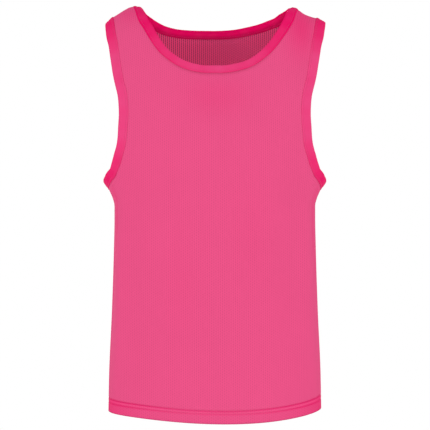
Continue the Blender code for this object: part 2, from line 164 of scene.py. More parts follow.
# Soft patches of painted shade on the flat cloth, in its folds, at the sides where it turns away and
# on the upper back: x, y, reach in x, reach in y, depth.
clothShades = {
    "front": (
        (-0.236, 0.20, 0.018, 0.20, 0.42), (0.236, 0.20, 0.016, 0.20, 0.28),
        (-0.182, 0.300, 0.006, 0.060, 0.40), (0.184, 0.300, 0.006, 0.060, 0.24),
        (-0.200, 0.250, 0.014, 0.050, 0.14), (0.198, 0.250, 0.014, 0.050, 0.14),
        (0.002, 0.520, 0.050, 0.032, 0.19), (0.150, 0.640, 0.028, 0.055, 0.58),
        (-0.145, 0.660, 0.026, 0.018, 0.24), (-0.215, 0.350, 0.024, 0.016, 0.22),
        (0.215, 0.350, 0.024, 0.016, 0.26), (0.06, 0.30, 0.030, 0.080, 0.05),
        (-0.05, 0.22, 0.030, 0.080, 0.05),
    ),
    "back": (
        (-0.236, 0.20, 0.016, 0.20, 0.28), (0.236, 0.20, 0.016, 0.20, 0.28),
        (0.000, 0.560, 0.070, 0.026, 0.14), (0.150, 0.640, 0.024, 0.040, 0.22),
        (-0.150, 0.640, 0.024, 0.040, 0.22), (-0.04, 0.26, 0.034, 0.090, 0.06),
    ),
    "hemLines": (0.62, 0.34),  # painted shade along the upper and the lower row of hem stitching
    "hemLineWidth": 0.0012,
    "hemSides": (0.5, 0.06, 0.10),  # more of both painted shades towards the side seams: most, from, over
    "hemBand": 0.05,  # between the stitching and the fold
    "hemEnds": (0.66, 0.225, 0.080),  # and towards the side seams: most, from the centre, reach
    # Painted shade on the rows and a painted highlight on the ridge between them, across the
    # stitching, from the lower row 0 to the upper row 1.
    "hemReliefShading": ((1.0, -0.11), (0.5, 0.08), (0.0, -0.03)),
    "hemReliefWidth": 0.25,
}

# Grid of each half panel: columns that end at the neckline, on the strap and under the arm.
weave = {
    "neckColumns": 20,
    "strapColumns": 20,
    "armColumns": 12,
    "underarmRows": 12,
    "chestRows": 20,
    "strapRows": 26,
    "hemRows": (  # mm above the hem, close by its two seams
        0, 3, 6, 9, 11.5, 13.2, 14.0, 14.6, 15.2, 15.8, 16.8, 17.7, 18.6, 19.3, 20.0, 20.6, 21.2,
        21.8, 22.4, 23.0, 24.0, 26, 30),
    "rowsAbove": 60,
    "bodyTop": 0.84,
    "girthLevel": 1.06,
    "clothThickness": 0.0007,
    "outerFace": 0.0004,  # how far the outer face lies out from the form
    "seamGap": 0.00003,  # between the two panels, which are sewn edge to edge
    "crestLevel": 1.9999,  # from here up a point belongs to the crest
    "bakeBox": (-0.29, -0.03, 0.58, 0.75),  # corner and size of the flat cloth in the bake
}
bodyReach = bibForm["underarmHeight"] - bibForm["hemHeight"]
lowLevels = np.array(weave["hemRows"]) / 1000 / bodyReach
highLevels = np.linspace(lowLevels[-1], weave["bodyTop"], weave["rowsAbove"] + 1)[1:]
bodyLevels = np.concatenate((lowLevels, highLevels))
weave["neckSteps"] = weave["neckColumns"] + weave["strapRows"]
weave["armSteps"] = weave["armColumns"] + weave["chestRows"] + weave["strapRows"]


def through(keys, values):  # a smooth curve that never overshoots the rows beside it
    keys, values = np.array(keys, float), np.array(values, float)
    run = np.diff(values) / np.diff(keys)
    slope = np.concatenate((run[:1], np.zeros(len(keys) - 2), run[-1:]))
    turns = run[:-1] * run[1:] <= 0
    total = np.where(turns, 1.0, run[:-1] + run[1:])
    slope[1:-1] = np.where(turns, 0.0, 2 * run[:-1] * run[1:] / total)

    def at(x):
        x = np.clip(x, keys[0], keys[-1])
        i = np.clip(np.searchsorted(keys, x, side="right") - 1, 0, len(keys) - 2)
        step = keys[i + 1] - keys[i]
        u = (x - keys[i]) / step
        start = values[i] * (1 + 2 * u) * (1 - u) ** 2 + slope[i] * step * u * (1 - u) ** 2
        end = values[i + 1] * u * u * (3 - 2 * u) - slope[i + 1] * step * u * u * (1 - u)
        return start + end

    return at


sectionRows = np.array(bibForm["sections"])
halfWidthAt, frontDepthAt, backDepthAt, squarenessAt = (
    through(sectionRows[:, 0], sectionRows[:, k]) for k in range(1, 5))
crestRows = np.array(bibForm["crest"])
frontLeftCrest, frontRightCrest, backLeftCrest, backRightCrest = (
    through(crestRows[:, 0], crestRows[:, k]) for k in range(1, 5))


def crestHeight(x, isBack):
    front = np.where(x > 0, frontRightCrest(np.abs(x)), frontLeftCrest(np.abs(x)))
    back = np.where(x > 0, backRightCrest(np.abs(x)), backLeftCrest(np.abs(x)))
    return np.where(isBack, back, front)


def sectionX(angle, level):
    square = squarenessAt(level)
    return halfWidthAt(level) * (np.sin(angle) + square * np.sin(3 * angle)) / (1 - square)


# The form without its folds. A level past 2 comes down the other panel.
def plainPoint(angle, level):
    angle, level = np.broadcast_arrays(np.asarray(angle, float), np.asarray(level, float))
    over = level > 2
    angle = np.where(over, np.copysign(np.pi, angle) - angle, angle)
    level = np.where(over, 4 - level, level)
    isBack = np.abs(angle) > np.pi / 2
    square = squarenessAt(level)
    x = sectionX(angle, level)
    depth = np.where(isBack, backDepthAt(level), frontDepthAt(level))
    y = -depth * (np.cos(angle) - square * np.cos(3 * angle)) / (1 - square)
    hem, underarm = bibForm["hemHeight"], bibForm["underarmHeight"]
    low = np.cos(angle - math.radians(bibForm["hemTurn"])) ** 4
    lift = np.where(angle < 0, *bibForm["hemLift"]) * np.abs(np.sin(angle)) ** 3
    dip = (bibForm["hemDip"] * low - lift) * np.maximum(1 - level, 0) ** 3
    lean = np.maximum(level - 1, 0) * np.pi / 2
    rise = (crestHeight(x, isBack) - underarm) * np.sin(lean)
    z = np.where(level <= 1, hem + (underarm - hem) * level - dip, underarm + rise)
    return np.stack((x, y * np.cos(lean), z), axis=-1)


def unit(vectors):
    return vectors / np.maximum(np.linalg.norm(vectors, axis=-1, keepdims=True), 1e-12)


def normalOf(pointAt, angle, level):
    step = 0.004
    across = pointAt(angle + step, level) - pointAt(angle - step, level)
    up = pointAt(angle, level + step) - pointAt(angle, np.maximum(level - step, 0))
    return unit(np.cross(across, up))


tableAngles, tableLevels = np.linspace(-np.pi, np.pi, 361), np.linspace(0, 2, 161)
net = plainPoint(*np.meshgrid(tableAngles, tableLevels))
roundArc = np.pad(np.cumsum(np.linalg.norm(np.diff(net, axis=1), axis=2), axis=1), ((0, 0), (1, 0)))
upArc = np.pad(np.cumsum(np.linalg.norm(np.diff(net, axis=0), axis=2), axis=0), ((1, 0), (0, 0)))


def readNet(values, angle, level):
    i = np.clip((angle + np.pi) / (2 * np.pi) * 360, 0, 359.999)
    j = np.clip(level / 2 * 160, 0, 159.999)
    i0, j0 = i.astype(int), j.astype(int)
    u, v = i - i0, j - j0
    low = values[j0, i0] * (1 - u) + values[j0, i0 + 1] * u
    high = values[j0 + 1, i0] * (1 - u) + values[j0 + 1, i0 + 1] * u
    return low * (1 - v) + high * v


# Where a point lies on its panel's flat cloth, from the centre line and the hem.
def flatPlace(angle, level):
    angle, level = np.broadcast_arrays(np.asarray(angle, float), np.asarray(level, float))
    around = readNet(roundArc, angle, level)
    centre = np.where(np.abs(angle) <= np.pi / 2, 0.0, np.copysign(np.pi, angle))
    return around - readNet(roundArc, centre, level), readNet(upArc, angle, level)


def drapeHeight(angle, level):
    angle, level = np.broadcast_arrays(np.asarray(angle, float), np.asarray(level, float))
    total = np.zeros(angle.shape)
    for centre, lean, width, height, low, high in bibForm["drape"]:
        along = np.clip((level - low) / (high - low), 0, 1)
        off = (np.degrees(angle) - centre - lean * along + 180) % 360 - 180
        total += height * np.exp(-((off / width) ** 2)) * np.sin(np.pi * along) ** 0.8
    return np.where(level > 2, 0.0, total)


def foldHeight(angle, level):  # the smaller folds, laid along paths on the flat cloth
    x, y = flatPlace(angle, np.clip(level, 0, 2))
    isBack = np.abs(angle) > np.pi / 2
    total = np.zeros(x.shape)
    for panel, wanted in (("front", ~isBack), ("back", isBack)):
        for path, width, height in clothFolds[panel]:
            path = np.array(path)
            lengths = np.linalg.norm(np.diff(path, axis=0), axis=1)
            best, where = np.full(x.shape, 1.0), np.zeros(x.shape)
            for k, length in enumerate(lengths):
                step = (path[k + 1] - path[k]) / length
                run = np.clip((x - path[k, 0]) * step[0] + (y - path[k, 1]) * step[1], 0, length)
                gap = np.hypot(x - path[k, 0] - run * step[0], y - path[k, 1] - run * step[1])
                where = np.where(gap < best, (lengths[:k].sum() + run) / lengths.sum(), where)
                best = np.minimum(best, gap)
            taper = 0.15 + 0.85 * np.sin(np.pi * where)
            total += np.where(wanted, height * taper * np.exp(-((best / width) ** 2)), 0.0)
    return np.where(level > 2, 0.0, total)


# The cloth sinks a little along its stitched lines.
seamDips = {
    "hemLines": (0.0200, 0.0152),  # height above the hem of the two rows of twin needle stitching
    "hemSpread": (0.0018, 0.0025),  # how much higher the upper row runs at the left and right side
    "hemDepth": 0.00050,
    "hemWidth": 0.0011,
    "sideDepth": 0.0008,
    "sideWidth": 0.0030,
    "crestDepth": 0.0007,
    "crestWidth": 0.0035,
    "reach": 0.16,  # metres of cloth for one radian round the body, or one level near the crest
}


def hemLinesAt(angle):  # heights of the two rows of hem stitching
    upper, lower = seamDips["hemLines"]
    spread = np.where(angle < 0, *seamDips["hemSpread"]) * np.sin(angle) ** 2
    return upper + spread, np.full(np.shape(angle), lower)


def seamDip(angle, level):
    height = level * bodyReach
    total = np.zeros(height.shape)
    for line in hemLinesAt(angle):
        total -= seamDips["hemDepth"] * np.exp(-(((height - line) / seamDips["hemWidth"]) ** 2))
    fromSide = np.abs(np.abs(angle) - np.pi / 2) * seamDips["reach"]
    sideDip = seamDips["sideDepth"] * np.exp(-((fromSide / seamDips["sideWidth"]) ** 2))
    total -= sideDip * (level < 1.02)
    fromCrest = np.abs(2 - level) * seamDips["reach"]
    return total - seamDips["crestDepth"] * np.exp(-((fromCrest / seamDips["crestWidth"]) ** 2))


# How deep in colour the cloth is at a place on the flat panel: painted shade in patches and along
# the hem stitching, deeper towards the ends of the hem, and the doubled hem band.
def clothDepth(x, y, upper, isBack):
    depth = 0.0
    for atX, atY, reachX, reachY, most in clothShades["back" if isBack else "front"]:
        depth += most * math.exp(-(((x - atX) / reachX) ** 2 + ((y - atY) / reachY) ** 2))
    most, start, over = clothShades["hemSides"]
    sideways = most * min(max((abs(x) - start) / over, 0.0), 1.0)
    for line, most in zip((upper, seamDips["hemLines"][1]), clothShades["hemLines"]):
        depth += (most + sideways) * math.exp(-(((y - line) / clothShades["hemLineWidth"]) ** 2))
    if y < upper:
        most, end, reach = clothShades["hemEnds"]
        depth += clothShades["hemBand"] + most * math.exp(-(((end - abs(x)) / reach) ** 2))
    return min(depth, 1.0)


def clothShade(y, upper):  # how light the cloth is across the hem stitching, painted shade and highlight, 1 elsewhere
    lower = seamDips["hemLines"][1]
    share, width = (y - lower) / (upper - lower), clothShades["hemReliefWidth"]
    return 1 + sum(most * math.exp(-(((share - at) / width) ** 2))
                   for at, most in clothShades["hemReliefShading"])


def bibPoint(angle, level):
    angle, level = np.broadcast_arrays(np.asarray(angle, float), np.asarray(level, float))
    height = drapeHeight(angle, level) + foldHeight(angle, level) + seamDip(angle, level)
    return plainPoint(angle, level) + normalOf(plainPoint, angle, level) * height[..., None]


def bibNormal(angle, level):
    return normalOf(bibPoint, np.asarray(angle, float), np.asarray(level, float))


# Seam lines are rows of (angle, level).

def placeOnBody(side, isBack, fromCentre, height):
    underarm = bibForm["underarmHeight"]
    if height is None:
        level = 2.0
    elif height <= underarm:
        level = 1.0
    else:
        rise = (height - underarm) / (float(crestHeight(side * fromCentre, isBack)) - underarm)
        level = 1 + math.asin(min(rise, 1.0)) * 2 / math.pi
    low, high = 0.0, math.pi / 2
    for _ in range(40):
        middle = (low + high) / 2
        if sectionX(middle, level) < fromCentre:
            low = middle
        else:
            high = middle
    return side * (math.pi - low if isBack else low), level


def evenly(line, count):  # count + 1 points spaced evenly in length
    line = np.asarray(line, float)
    steps = np.linalg.norm(np.diff(plainPoint(line[:, 0], line[:, 1]), axis=0), axis=1)
    run = np.concatenate(([0.0], np.cumsum(steps)))
    goals = np.linspace(0, run[-1], count + 1)
    return np.stack([np.interp(goals, run, line[:, n]) for n in (0, 1)], axis=1)


def smoothLine(knots, ghostStart, ghostEnd, count):
    points = np.array([ghostStart, *knots, ghostEnd])
    fine = []
    for i in range(1, len(points) - 2):
        a, b, c, d = points[i - 1:i + 3]
        for u in np.arange(12) / 12:
            fine.append(0.5 * (2 * b + (c - a) * u + (2 * a - 5 * b + 4 * c - d) * u * u
                               + (3 * b - a - 3 * c + d) * u ** 3))
    fine.append(points[-2])
    return evenly(fine, count)


def neckLine(side, isBack, count):
    rows = bibForm["neckSeams"]["back" if isBack else "front", side]
    knots = [placeOnBody(side, isBack, x, z) for x, z in rows]
    centre = side * math.pi if isBack else 0.0
    knots[0] = (centre, knots[0][1])
    return smoothLine(knots, (2 * centre - knots[1][0], knots[1][1]),
                      (knots[-2][0], 4 - knots[-2][1]), count)


def armholeLine(side, isBack, count):
    rows = bibForm["armholeSeams"]["back" if isBack else "front"]
    knots = [placeOnBody(side, isBack, x, z) for x, z in rows]
    seam = side * math.pi / 2
    knots[0] = (seam, 1.0)
    return smoothLine(knots, (2 * seam - knots[1][0], knots[1][1]),
                      (knots[-2][0], 4 - knots[-2][1]), count)


def straightLine(start, end, count):
    share = np.linspace(0, 1, 25)[:, None]
    return evenly(np.array(start) * (1 - share) + np.array(end) * share, count)


def fillBetween(bottom, top, left, right):  # a grid of places between its four edges
    v = np.linspace(0, 1, len(left))[:, None, None]
    u = np.linspace(0, 1, len(bottom))[None, :, None]
    corners = ((1 - u) * ((1 - v) * bottom[0] + v * top[0])
               + u * ((1 - v) * bottom[-1] + v * top[-1]))
    return ((1 - v) * bottom[None] + v * top[None]
            + (1 - u) * left[:, None] + u * right[:, None] - corners)


def halfPanel(side, isBack):
    neckColumns, strapColumns = weave["neckColumns"], weave["strapColumns"]
    armColumns, chestRows = weave["armColumns"], weave["chestRows"]
    columns = neckColumns + strapColumns + armColumns
    neck = neckLine(side, isBack, weave["neckSteps"])
    arm = armholeLine(side, isBack, weave["armSteps"])
    centre, seam = neck[0, 0], arm[0, 0]
    body = np.stack(np.meshgrid(np.linspace(centre, seam, columns + 1), bodyLevels), axis=-1)
    scoop, hinge = arm[armColumns], arm[armColumns + chestRows]
    underScoop = straightLine((centre, weave["girthLevel"]), scoop, columns - armColumns)
    girth = np.concatenate((underScoop, arm[armColumns - 1::-1]))
    acrossStrap = straightLine(neck[neckColumns], hinge, strapColumns)
    yoke = np.concatenate((neck[:neckColumns], acrossStrap))
    lower = fillBetween(body[-1], girth, straightLine(body[-1, 0], girth[0], weave["underarmRows"]),
                        straightLine(body[-1, -1], girth[-1], weave["underarmRows"]))
    chest = fillBetween(girth[:-armColumns], yoke, straightLine(girth[0], neck[0], chestRows),
                        arm[armColumns:armColumns + chestRows + 1])
    strap = fillBetween(yoke[neckColumns:], straightLine(neck[-1], arm[-1], strapColumns),
                        neck[neckColumns:], arm[armColumns + chestRows:])
    return np.concatenate((body, lower[1:])), chest, strap


def toLinear(hexCode):
    values = [int(hexCode[i:i + 2], 16) / 255 for i in (1, 3, 5)]
    return [v / 12.92 if v <= 0.04045 else ((v + 0.055) / 1.055) ** 2.4 for v in values] + [1.0]


# One node with its settings, values and links. Inputs are by name or in order, and a node stands
# for its first output.
def addNode(tree, kind, inputs=(), **settings):
    node = tree.nodes.new(kind)
    for name, value in settings.items():
        setattr(node, name, value)
    for key, value in inputs.items() if isinstance(inputs, dict) else enumerate(inputs):
        if isinstance(value, bpy.types.Node):
            value = value.outputs[0]
        if isinstance(value, bpy.types.NodeSocket):
            tree.links.new(value, node.inputs[key])
        else:
            node.inputs[key].default_value = value
    return node


def newMaterial(name, settings):
    material = bpy.data.materials.new(name)
    material.use_nodes = True
    shader = material.node_tree.nodes["Principled BSDF"]
    for key, value in settings.items():
        shader.inputs[key].default_value = value
    return material, material.node_tree, shader


waveScale = 0.32  # at which the wave texture has about one wave in each unit

meshLooks = {
    "colour": "#d94c7d",
    "deepAndShadeColour": "#dd1f66",  # where the cloth is doubled, and painted shade where it lies in a fold, at the sides and on the inner face
    "sheenColour": "#ff5c94",
    "grooveShade": 0.045,  # painted shade: how much darker it is down between the ribs
    "insideGrooveShade": 0.60,  # more of that painted shade on the inner face of the cloth
    "insideRibHighlight": 0.24,  # and the painted highlight on its ribs there
    "insideShadeDepth": 0.28,  # and how much deeper in colour the inner face is: painted shade
    "columnPitch": 0.0034,  # eyelets side by side
    "rowPitch": 0.0041,  # eyelets one above the other
    "eyeletWidth": 0.0010,
    "eyeletHeight": 0.0019,
    "eyeletCover": 0.84,  # fine yarns that cross each eyelet
    "eyeletEdge": (0.85, 1.15),  # where the hole ends and the cloth starts, 1 is the eyelet's edge
    "rimEdge": (0.9, 2.0),  # and where the dip round it does
    "ribEdge": (0.10, 0.42),  # flank of a rib, from the middle of a column of eyelets
    "ribShare": 0.6,  # of the relief, the rest is the rims
    "loopPitch": 0.0008,  # knitted loops, drawn twice as coarse as the real ones so that they show
    "loopRelief": 0.3,
    "mottleScale": 14.0,
    "mottle": 0.03,
    "relief": 0.22,
    "reliefDepth": 0.0004,
}


def makeMeshFabric():
    # Warp-knitted polyester eyelet mesh: matte, small half-open eyelets between fine upright ribs.
    looks, maths, ranges = meshLooks, "ShaderNodeMath", "ShaderNodeMapRange"
    material, tree, shader = newMaterial("polyesterEyeletMesh", {
        "Roughness": 0.85, "Specular IOR Level": 0.04, "Sheen Weight": 0.05, "Sheen Roughness": 0.5})
    shader.inputs["Sheen Tint"].default_value = toLinear(looks["sheenColour"])

    # Each place's distance from the middle of its eyelet, where odd columns sit half a row higher.
    cloth = addNode(tree, "ShaderNodeUVMap", uv_map="cloth")
    split = addNode(tree, "ShaderNodeSeparateXYZ", [cloth])
    columns = addNode(tree, maths, [split.outputs[0], looks["columnPitch"]], operation="DIVIDE")
    rows = addNode(tree, maths, [split.outputs[1], looks["rowPitch"]], operation="DIVIDE")
    column = addNode(tree, maths, [columns], operation="FLOOR")
    isOdd = addNode(tree, maths, [column, 1.0], operation="PINGPONG")
    halfRow = addNode(tree, maths, [isOdd, 0.5], operation="MULTIPLY")
    shiftedRows = addNode(tree, maths, [rows, halfRow], operation="ADD")
    acrossShare = addNode(tree, maths, [columns], operation="FRACT")
    alongShare = addNode(tree, maths, [shiftedRows], operation="FRACT")
    acrossCell = addNode(tree, maths, [acrossShare, 0.5], operation="SUBTRACT")
    alongCell = addNode(tree, maths, [alongShare, 0.5], operation="SUBTRACT")
    perWidth = 2 * looks["columnPitch"] / looks["eyeletWidth"]
    perHeight = 2 * looks["rowPitch"] / looks["eyeletHeight"]
    acrossHole = addNode(tree, maths, [acrossCell, perWidth], operation="MULTIPLY")
    alongHole = addNode(tree, maths, [alongCell, perHeight], operation="MULTIPLY")
    acrossSquare = addNode(tree, maths, [acrossHole, acrossHole], operation="MULTIPLY")
    alongSquare = addNode(tree, maths, [alongHole, alongHole], operation="MULTIPLY")
    bothSquares = addNode(tree, maths, [acrossSquare, alongSquare], operation="ADD")
    reach = addNode(tree, maths, [bothSquares], operation="SQRT")

    # Cover of the eyelet, and the height of its rim and of the rib beside it.
    thread = addNode(tree, ranges, [reach, *looks["eyeletEdge"], looks["eyeletCover"]],
                     interpolation_type="SMOOTHSTEP")
    tree.links.new(thread.outputs[0], shader.inputs["Alpha"])
    rim = addNode(tree, ranges, [reach, *looks["rimEdge"]], interpolation_type="SMOOTHSTEP")
    fromMiddle = addNode(tree, maths, [acrossCell], operation="ABSOLUTE")
    rib = addNode(tree, ranges, [fromMiddle, *looks["ribEdge"]], interpolation_type="SMOOTHSTEP")
    rimPart = addNode(tree, maths, [rim, 1 - looks["ribShare"]], operation="MULTIPLY")
    ribPart = addNode(tree, maths, [rib, looks["ribShare"]], operation="MULTIPLY")
    height = addNode(tree, maths, [rimPart, ribPart], operation="ADD")

    # Lightness: mottle, painted shade between the ribs, the painted shade and highlight of the shade
    # attribute across the hem stitching, and more painted shade between lighter ribs on the inner
    # face of the cloth.
    place = addNode(tree, "ShaderNodeTexCoord").outputs["Object"]
    mottle = addNode(tree, "ShaderNodeTexNoise",
                     {"Vector": place, "Scale": looks["mottleScale"], "Detail": 3.0})
    spread = addNode(tree, maths, [mottle, 2 * looks["mottle"]], operation="MULTIPLY")
    patchy = addNode(tree, maths, [1 - looks["mottle"], spread], operation="ADD")
    inside = addNode(tree, "ShaderNodeAttribute", attribute_name="inside").outputs["Fac"]
    insideGrooveShade = addNode(tree, maths, [inside, looks["insideGrooveShade"]], operation="MULTIPLY")
    darkest = addNode(tree, maths, [looks["grooveShade"], insideGrooveShade], operation="ADD")
    lowness = addNode(tree, maths, [1.0, height], operation="SUBTRACT")
    dark = addNode(tree, maths, [darkest, lowness], operation="MULTIPLY")
    grooveShade = addNode(tree, maths, [1.0, dark], operation="SUBTRACT")
    insideRibHighlight = addNode(tree, maths, [inside, looks["insideRibHighlight"]], operation="MULTIPLY")
    lighter = addNode(tree, maths, [1.0, insideRibHighlight], operation="ADD")
    shade = addNode(tree, "ShaderNodeAttribute", attribute_name="shade").outputs["Fac"]
    knitTone = addNode(tree, maths, [patchy, grooveShade], operation="MULTIPLY")
    placeTone = addNode(tree, maths, [shade, lighter], operation="MULTIPLY")
    tone = addNode(tree, maths, [knitTone, placeTone], operation="MULTIPLY")

    # Painted shade: the depth attribute, and more of it on the inner face, mix in the deeper colour.
    depth = addNode(tree, "ShaderNodeAttribute", attribute_name="depth").outputs["Fac"]
    insideShadeDepth = addNode(tree, maths, [inside, looks["insideShadeDepth"]], operation="MULTIPLY")
    deeper = addNode(tree, maths, [depth, insideShadeDepth], operation="ADD")
    mix = addNode(tree, "ShaderNodeMix", {
        0: deeper, 6: toLinear(looks["colour"]), 7: toLinear(looks["deepAndShadeColour"])}, data_type="RGBA")
    tinted = addNode(tree, "ShaderNodeVectorMath", {0: mix.outputs[2], 3: tone}, operation="SCALE")
    tree.links.new(tinted.outputs[0], shader.inputs["Base Color"])

    loops = addNode(tree, "ShaderNodeVectorMath", {0: cloth, 3: 1 / looks["loopPitch"]},
                    operation="SCALE")
    loopWave = addNode(tree, "ShaderNodeTexWave",
                       {0: loops, "Scale": waveScale, "Distortion": 1.5},
                       wave_type="BANDS", bands_direction="Y")
    loopPart = addNode(tree, maths, [loopWave.outputs[1], looks["loopRelief"]],
                       operation="MULTIPLY")
    relief = addNode(tree, maths, [height, loopPart], operation="ADD")
    bump = addNode(tree, "ShaderNodeBump", {
        "Strength": looks["relief"], "Distance": looks["reliefDepth"], "Height": relief})
    tree.links.new(bump.outputs[0], shader.inputs["Normal"])
    return material


bindingLooks = {
    "colour": "#e0447c",
    # deepest colour of the strip: partly where it is pulled tight, partly painted shade
    "deepAndShadeColour": "#df035d",
    "sheenColour": "#ff3f80",
    "ribPitch": 0.0011,  # 1x1 rib knit
    "mottleScale": 22.0,
    "mottle": 0.04,
    "relief": 0.35,
    "reliefDepth": 0.0003,
}


def makeBindingKnit():
    # Folded strip of plain polyester knit: closed, a little deeper in colour than the mesh.
    looks, maths = bindingLooks, "ShaderNodeMath"
    material, tree, shader = newMaterial("polyesterBindingKnit", {
        "Roughness": 0.8, "Specular IOR Level": 0.04, "Sheen Weight": 0.03, "Sheen Roughness": 0.4})
    shader.inputs["Sheen Tint"].default_value = toLinear(looks["sheenColour"])
    cloth = addNode(tree, "ShaderNodeUVMap", uv_map="cloth")
    fine = addNode(tree, "ShaderNodeVectorMath", {0: cloth, 3: 1 / looks["ribPitch"]},
                   operation="SCALE")
    ribs = addNode(tree, "ShaderNodeTexWave",
                   {0: fine, "Scale": waveScale, "Distortion": 0.8, "Detail": 1.0},
                   wave_type="BANDS", bands_direction="X")
    place = addNode(tree, "ShaderNodeTexCoord").outputs["Object"]
    mottle = addNode(tree, "ShaderNodeTexNoise",
                     {"Vector": place, "Scale": looks["mottleScale"], "Detail": 3.0})
    offMiddle = addNode(tree, maths, [mottle, 0.5], operation="SUBTRACT")
    spread = addNode(tree, maths, [offMiddle, 2 * looks["mottle"]], operation="MULTIPLY")
    patchy = addNode(tree, maths, [1.0, spread], operation="ADD")
    # Painted shade and highlight behind the neck from the shade attribute, and a tone along the
    # strip that is partly painted shade.
    shade = addNode(tree, "ShaderNodeAttribute", attribute_name="shade").outputs["Fac"]
    lightness = addNode(tree, maths, [patchy, shade], operation="MULTIPLY")
    tone = addNode(tree, "ShaderNodeAttribute", attribute_name="tone").outputs["Fac"]
    mix = addNode(tree, "ShaderNodeMix", {
        0: tone, 6: toLinear(looks["deepAndShadeColour"]), 7: toLinear(looks["colour"])}, data_type="RGBA")
    tinted = addNode(tree, "ShaderNodeVectorMath", {0: mix.outputs[2], 3: lightness},
                     operation="SCALE")
    tree.links.new(tinted.outputs[0], shader.inputs["Base Color"])
    bump = addNode(tree, "ShaderNodeBump", {
        "Strength": looks["relief"], "Distance": looks["reliefDepth"], "Height": ribs.outputs[1]})
    tree.links.new(bump.outputs[0], shader.inputs["Normal"])
    return material


threadLooks = {
    "colour": "#c62f66",
    "twist": 900.0,
    "darkest": 0.85,
    "contrast": 0.3,
}


def makeThread():
    # Spun polyester sewing thread: a little shinier than the knit, with a fine twist.
    looks, maths = threadLooks, "ShaderNodeMath"
    material, tree, shader = newMaterial("polyesterThread", {
        "Roughness": 0.55, "Sheen Weight": 0.1})
    place = addNode(tree, "ShaderNodeTexCoord").outputs["Object"]
    twist = addNode(tree, "ShaderNodeTexNoise",
                    {"Vector": place, "Scale": looks["twist"], "Detail": 1.0})
    spread = addNode(tree, maths, [twist, looks["contrast"]], operation="MULTIPLY")
    shade = addNode(tree, maths, [looks["darkest"], spread], operation="ADD")
    tinted = addNode(tree, "ShaderNodeVectorMath", {0: toLinear(looks["colour"])[:3], 3: shade},
                     operation="SCALE")
    tree.links.new(tinted.outputs[0], shader.inputs["Base Color"])
    return material


meshFabric, bindingKnit, sewingThread = makeMeshFabric(), makeBindingKnit(), makeThread()
print("materials made")


# A flat grid bent to the given points, with its place on the cloth.
def layGrid(bm, points, flats, turned):
    rows, columns = points.shape[:2]
    flatLayer = bm.verts.layers.float_vector["flat"]
    made = bmesh.ops.create_grid(bm, x_segments=columns - 1, y_segments=rows - 1, size=0.5)["verts"]
    for vert in made:
        i = round((vert.co.x + 0.5) * (columns - 1))
        j = round((vert.co.y + 0.5) * (rows - 1))
        vert.co = points[j, i]
        vert[flatLayer] = (*flats[j, i], 0.0)
    if turned:
        faces = {face for vert in made for face in vert.link_faces}
        bmesh.ops.reverse_faces(bm, faces=list(faces))


def setDepth(bm, isBack):  # how deep and how light the colour is at each point, mostly painted shade and highlight
    depthLayer = bm.verts.layers.float.new("depth")
    shadeLayer = bm.verts.layers.float.new("shade")
    flatLayer = bm.verts.layers.float_vector["flat"]
    for vert in bm.verts:
        x, y = vert[flatLayer].xy
        spread = seamDips["hemSpread"][0 if vert.co.x < 0 else 1]
        sideways = min((vert.co.x / bibForm["sections"][0][1]) ** 2, 1.0)
        upper = seamDips["hemLines"][0] + spread * sideways
        vert[depthLayer] = clothDepth(x, y, upper, isBack)
        vert[shadeLayer] = clothShade(y, upper)


# Gives the sheet its thickness and its two maps.
def finishCloth(bm, name, material, thickness, bakePlace):
    flatLayer = bm.verts.layers.float_vector["flat"]
    bmesh.ops.remove_doubles(bm, verts=bm.verts, dist=0.00002)
    bm.normal_update()
    insideLayer = bm.verts.layers.float.new("inside")
    outside, skin = set(bm.faces), set(bm.verts)
    bmesh.ops.solidify(bm, geom=list(bm.faces), thickness=thickness)
    for vert in bm.verts:
        vert[insideLayer] = 0.0 if vert in skin else 1.0
    clothMap, bakeMap = bm.loops.layers.uv.new("cloth"), bm.loops.layers.uv.new("OFBake")
    for face in bm.faces:
        isOutside = face in outside
        middle = sum((loop.vert[flatLayer] for loop in face.loops), Vector()) / len(face.loops)
        for loop in face.loops:
            loop[clothMap].uv = loop.vert[flatLayer].xy
            loop[bakeMap].uv = bakePlace(loop.vert[flatLayer], middle, isOutside)
        face.smooth = True
    mesh = bpy.data.meshes.new(name)
    bm.to_mesh(mesh)
    bm.free()
    mesh.materials.append(material)
    piece = bpy.data.objects.new(name, mesh)
    bpy.context.scene.collection.objects.link(piece)
    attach(piece, "root")
    return piece


hemFold = {
    "height": 0.0200,  # turned to the inside
    "legGap": 0.0020,  # between the outer faces of its two layers
    "rows": 8,
    "turnRows": (0.25, 0.5, 0.75),  # round the fold
    "turnStart": 0.0008,  # height above the hem where the turn starts
    "turnDepth": 0.0010,
    "turnCloth": 0.0031,  # length of cloth in the turn
}


# The turned-in hem, from its raw edge down to the fold, and its place on the cloth.
def hemRows(angles):
    outer, legGap = weave["outerFace"], hemFold["legGap"]
    turnStart, turnCloth = hemFold["turnStart"], hemFold["turnCloth"]
    rows = [(height, -legGap + outer, -height - turnCloth)
            for height in np.linspace(hemFold["height"], turnStart, hemFold["rows"])]
    for turn in hemFold["turnRows"]:
        swing = math.pi * turn
        rows.append((turnStart - hemFold["turnDepth"] * math.sin(swing),
                     outer - legGap * (1 + math.cos(swing)) / 2, -turnCloth * (1 - turn)))
    points, flats = [], []
    for height, offset, flatHeight in rows:
        level = np.full(len(angles), max(height, 0.0) / bodyReach)
        point = bibPoint(angles, level) + bibNormal(angles, level) * offset
        point[:, 2] += min(height, 0.0)
        points.append(point)
        flatAcross = flatPlace(angles, level)[0]
        flats.append(np.stack((flatAcross, np.full(len(angles), flatHeight)), axis=1))
    return np.array(points), np.array(flats)


